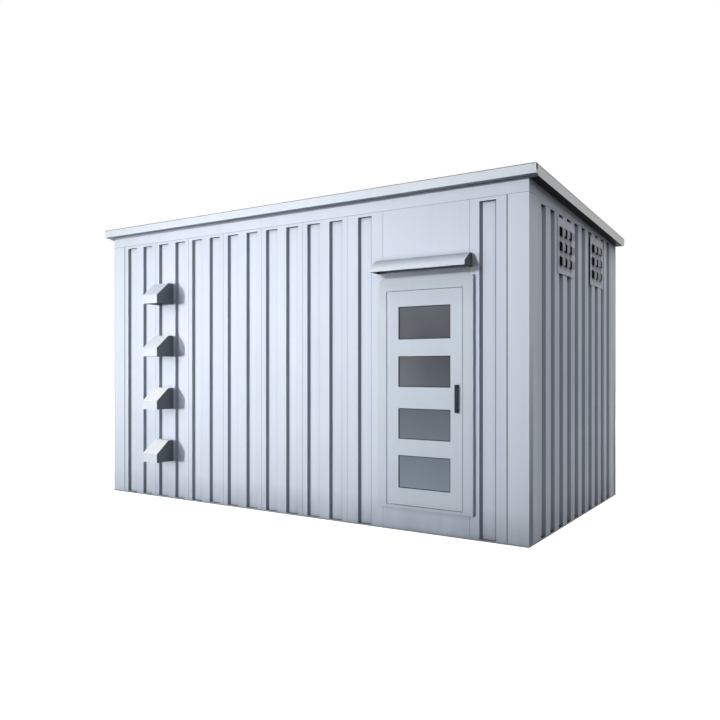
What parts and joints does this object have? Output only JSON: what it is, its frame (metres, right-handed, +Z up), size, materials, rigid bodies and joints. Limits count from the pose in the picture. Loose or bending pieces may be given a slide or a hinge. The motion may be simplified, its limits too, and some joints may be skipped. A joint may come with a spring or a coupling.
{
  "type": "armored equipment shelter",
  "caption": "Hollow steel equipment shelter with ribbed walls, a lean-to roof, a glazed outward-opening door under a rain hood, hooded front vents and louvred side vents.",
  "frame": {"origin": "on the ground at the middle of the walls' footprint", "axes": "+Z up, +X along the front towards the door end, the front faces -Y"},
  "size_m": [5.456, 3.328, 3.2006],
  "materials": {
    "base": "satin off-white paint",
    "floor": "matt grey tread paint",
    "frame": "satin off-white paint",
    "cladding": "satin off-white paint",
    "roof": "satin light grey paint",
    "trim": "satin white paint",
    "door_paint": "satin pale grey paint",
    "door_glass": "dark tinted armoured glass",
    "handle": "satin black",
    "pivot": "bare steel",
    "hood": "satin white paint",
    "vent_plate": "satin off-white paint"
  },
  "bodies": {
    "shelter": {"base_rail_front": "base", "base_rail_rear": "base", "base_rail_left": "base", "base_rail_right": "base", "floor_deck": "floor", "corner_post_front_left": "frame", "corner_post_front_right": "frame", "corner_post_rear_left": "frame", "corner_post_rear_right": "frame", "head_rail_front": "frame", "head_rail_rear": "frame", "head_rail_left": "frame", "head_rail_right": "frame", "wall_front_left": "cladding", "wall_door_left": "cladding", "wall_door_right": "cladding", "wall_lintel": "cladding", "wall_sill": "cladding", "wall_right": "cladding", "wall_left": "cladding", "wall_rear": "cladding", "roof_deck": "roof", "eaves_front": "trim", "eaves_left": "trim", "eaves_right": "trim", "rear_gutter": "trim", "door_casing": "door_paint", "door_pivot_lower": "pivot", "door_pivot_upper": "pivot", "door_hood": "hood", "vent_hood_1": "hood", "vent_hood_2": "hood", "vent_hood_3": "hood", "vent_hood_4": "hood", "side_vent_front": "vent_plate", "side_vent_rear": "vent_plate"},
    "door": {"door_leaf": "door_paint", "door_pane_1": "door_glass", "door_pane_2": "door_glass", "door_pane_3": "door_glass", "door_pane_4": "door_glass", "door_handle": "handle"}
  },
  "joints": [
    {"name": "door_hinge", "type": "hinge", "parent": "shelter", "child": "door", "pos_m": [1.307, -1.523, 1.229], "axis": [0, 0, -1], "range_deg": [0, 105]}
  ]
}
